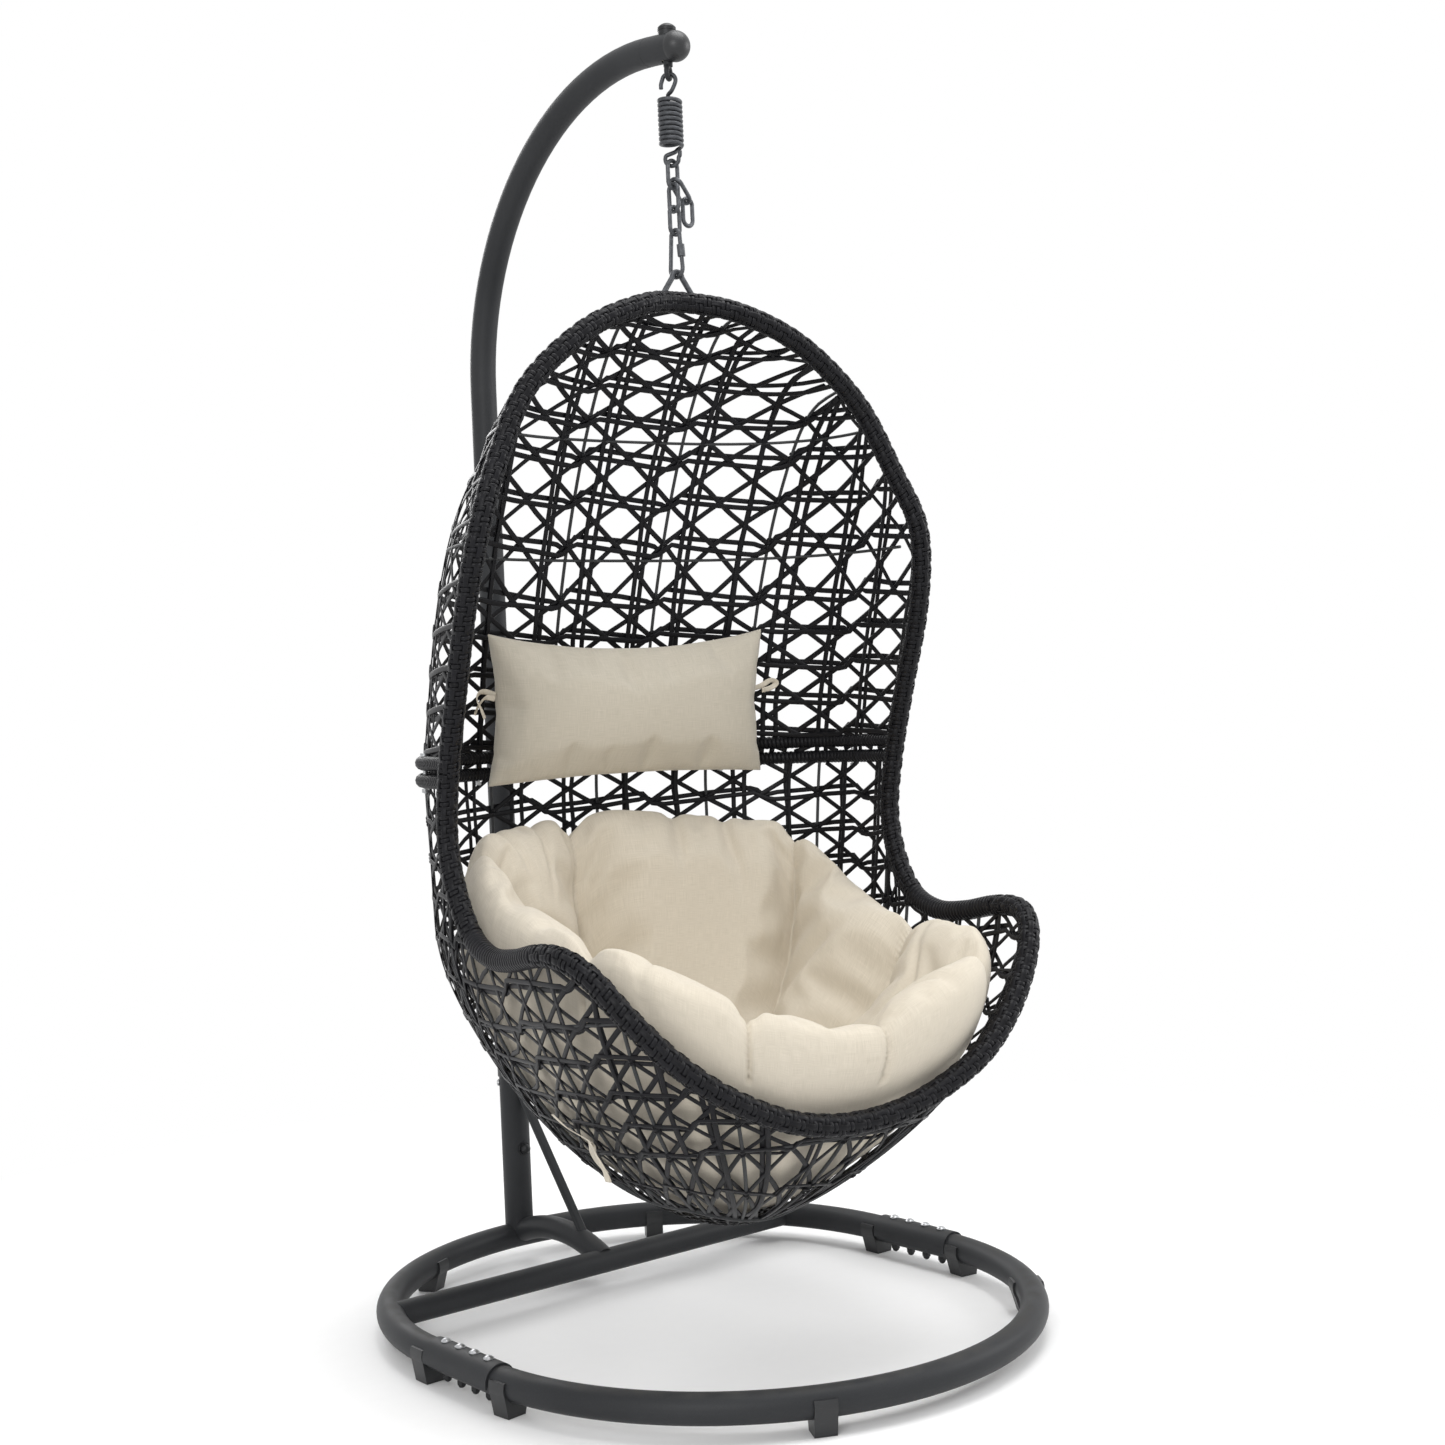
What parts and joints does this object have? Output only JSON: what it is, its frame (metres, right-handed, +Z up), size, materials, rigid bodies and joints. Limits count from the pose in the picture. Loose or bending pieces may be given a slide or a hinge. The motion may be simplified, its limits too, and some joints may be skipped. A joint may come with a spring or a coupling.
{
  "type": "hanging egg chair",
  "caption": "Egg-shaped woven basket seat with a quilted seat cushion and head pillow, hung by a spring and chain from a curved pole on a ring base.",
  "frame": {"origin": "on the floor, under the centre of the base ring, which is the centre of the part's footprint", "axes": "+Z up, -Y towards the seat's open front, +Y towards the pole, +X to the right of someone looking along +Y"},
  "size_m": [0.9246, 1.07, 1.9628],
  "materials": {
    "powder_coat": "fine textured powder coat",
    "black_plastic": "moulded, satin",
    "zinc": "zinc plated",
    "black_steel": "black oxide",
    "nylon": "natural nylon",
    "spring_steel": "dark plated",
    "chain_steel": "dark zinc",
    "frame_steel": "powder coat",
    "cane": "flat plastic cane, satin",
    "cloth": "plain woven polyester"
  },
  "bodies": {
    "stand": {"base_ring_front": "powder_coat", "base_ring_rear": "powder_coat", "splice_sleeve_left": "powder_coat", "splice_sleeve_right": "powder_coat", "splice_bolts": "zinc", "splice_nuts": "black_steel", "clip_feet": "black_plastic", "crossbar": "powder_coat", "spine_tube": "powder_coat", "post_socket": "powder_coat", "post_brace": "powder_coat", "post_collar": "black_plastic", "post_screw": "zinc", "post_bolt": "black_steel", "post_bolt_washer": "black_steel", "pole": "powder_coat", "pole_end_cap": "black_plastic", "swivel_bush": "nylon", "saddle_washer": "black_steel"},
    "swivel": {"eye_bolt": "powder_coat", "dome_nut": "black_steel"},
    "hanger": {"spring": "spring_steel"},
    "link_1": {"chain_link_1": "chain_steel"},
    "link_2": {"chain_link_2": "chain_steel"},
    "link_3": {"chain_link_3": "chain_steel"},
    "quick_link": {"quick_link": "chain_steel"},
    "quick_nut": {"quick_link_nut": "chain_steel"},
    "spare_1": {"spare_link_1": "chain_steel"},
    "spare_2": {"spare_link_2": "chain_steel"},
    "basket": {"hanging_loop": "chain_steel", "hood_rim": "frame_steel", "hood_wrap": "cane", "hood_bar": "cane", "hood_ribs": "frame_steel", "hood_hoops": "frame_steel", "hood_weave": "cane", "seat_rim": "frame_steel", "seat_wrap": "cane", "seat_bar": "cane", "seat_ribs": "frame_steel", "seat_hoops": "frame_steel", "bottom_hoop": "frame_steel", "seat_weave": "cane", "basket_bolts": "zinc", "basket_nuts": "zinc", "seat_cushion": "cloth", "head_pillow": "cloth", "cushion_ties": "cloth", "pillow_ties": "cloth"}
  },
  "joints": [
    {"name": "swivel_turn", "type": "hinge", "parent": "stand", "child": "swivel", "pos_m": [0, -0.033, 1.88892], "axis": [0, 0, 1], "range_deg": [-30, 30]},
    {"name": "hang_swing", "type": "hinge", "parent": "swivel", "child": "hanger", "pos_m": [0, -0.033, 1.88407], "axis": [1, 0, 0], "range_deg": [-8, 3]},
    {"name": "spring_bounce", "type": "slide", "parent": "hanger", "child": "link_1", "axis": [0, 0, -1], "range_m": [0, 0.03], "stiffness_N_per_m": 20000, "deforming": ["spring"]},
    {"name": "side_swing", "type": "hinge", "parent": "link_1", "child": "link_2", "pos_m": [0, -0.033, 1.71847], "axis": [0, 1, 0], "range_deg": [-6, 6]},
    {"name": "chain_swing", "type": "hinge", "parent": "link_2", "child": "link_3", "pos_m": [0, -0.033, 1.68377], "axis": [1, 0, 0], "range_deg": [-3, 1]},
    {"name": "quick_link_swing", "type": "hinge", "parent": "link_3", "child": "quick_link", "pos_m": [0, -0.033, 1.64907], "axis": [0, 1, 0], "range_deg": [-3, 3]},
    {"name": "basket_tilt", "type": "hinge", "parent": "quick_link", "child": "basket", "pos_m": [0, -0.033, 1.58487], "axis": [0.9885, -0.1513, 0], "range_deg": [-4, 2]},
    {"name": "quick_nut_travel", "type": "slide", "parent": "quick_link", "child": "quick_nut", "axis": [-0.0071, 0.0813, 0.9967], "range_m": [0, 0.006]},
    {"name": "spare_link_swing", "type": "hinge", "parent": "link_2", "child": "spare_1", "pos_m": [0.0012, -0.0329, 1.73237], "axis": [0.0872, -0.9962, 0], "range_deg": [0, 11]},
    {"name": "spare_end_swing", "type": "hinge", "parent": "spare_1", "child": "spare_2", "pos_m": [0.02777, -0.03057, 1.70058], "axis": [0.9962, 0.0872, 0], "range_deg": [-20, 20]}
  ]
}
